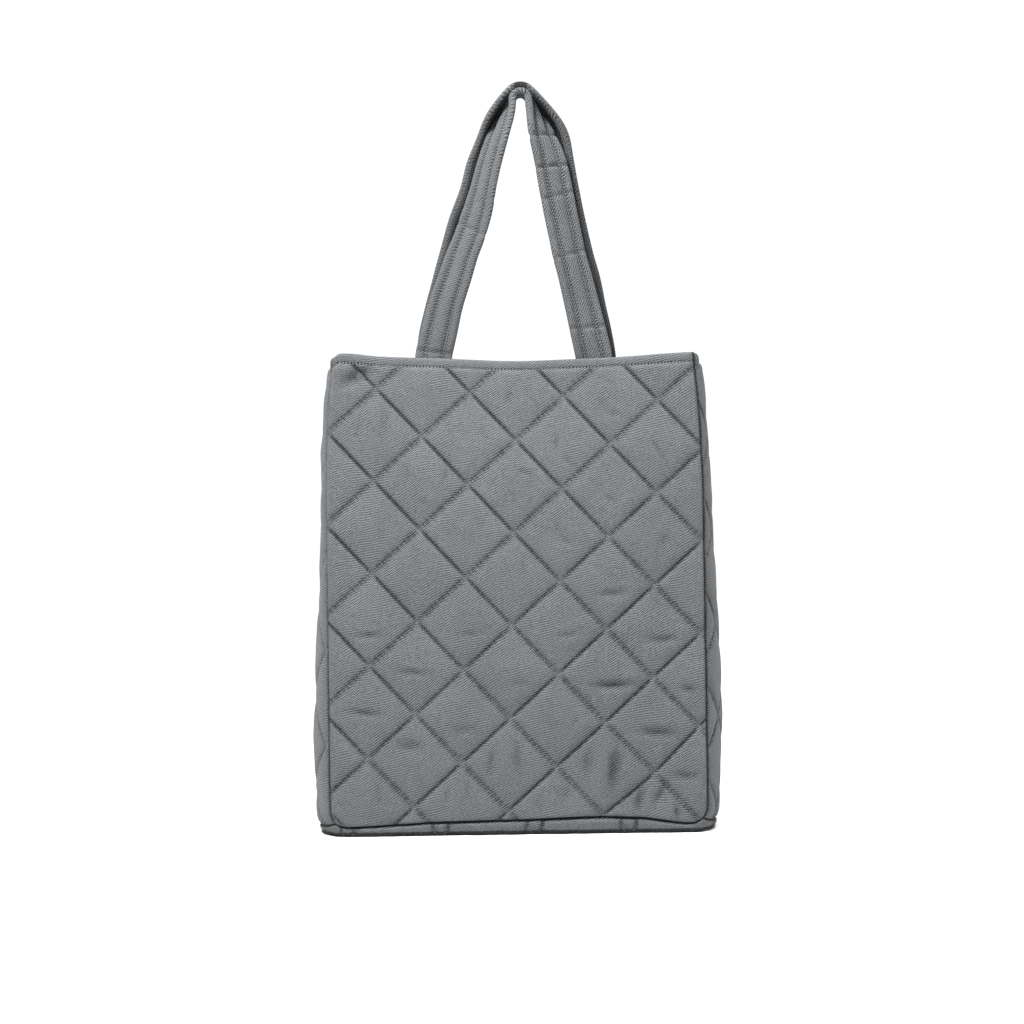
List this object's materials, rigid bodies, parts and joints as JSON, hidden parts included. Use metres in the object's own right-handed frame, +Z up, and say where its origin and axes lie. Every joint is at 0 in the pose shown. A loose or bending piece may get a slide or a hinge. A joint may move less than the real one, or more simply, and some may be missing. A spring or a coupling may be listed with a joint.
{
  "type": "puffer tote bag",
  "caption": "Open-topped tote bag of diamond-quilted padded cloth with side gussets, a base panel and padded shoulder straps that stand up to a peak.",
  "frame": {"origin": "centre of the bag's footprint on the floor that it stands on", "axes": "+X to the right across the front, +Y from the front to the back, +Z up from the base to the top of the straps"},
  "size_m": [0.3665, 0.1275, 0.671],
  "materials": {
    "shell_fabric": "matt cotton twill, quilted over wadding",
    "handle_fabric": "matt cotton twill, folded and stitched in rows"
  },
  "bodies": {
    "root": {"front_panel": "shell_fabric", "back_panel": "shell_fabric", "left_gusset": "shell_fabric", "right_gusset": "shell_fabric", "base": "shell_fabric", "front_handle": "handle_fabric", "back_handle": "handle_fabric"}
  },
  "joints": []
}
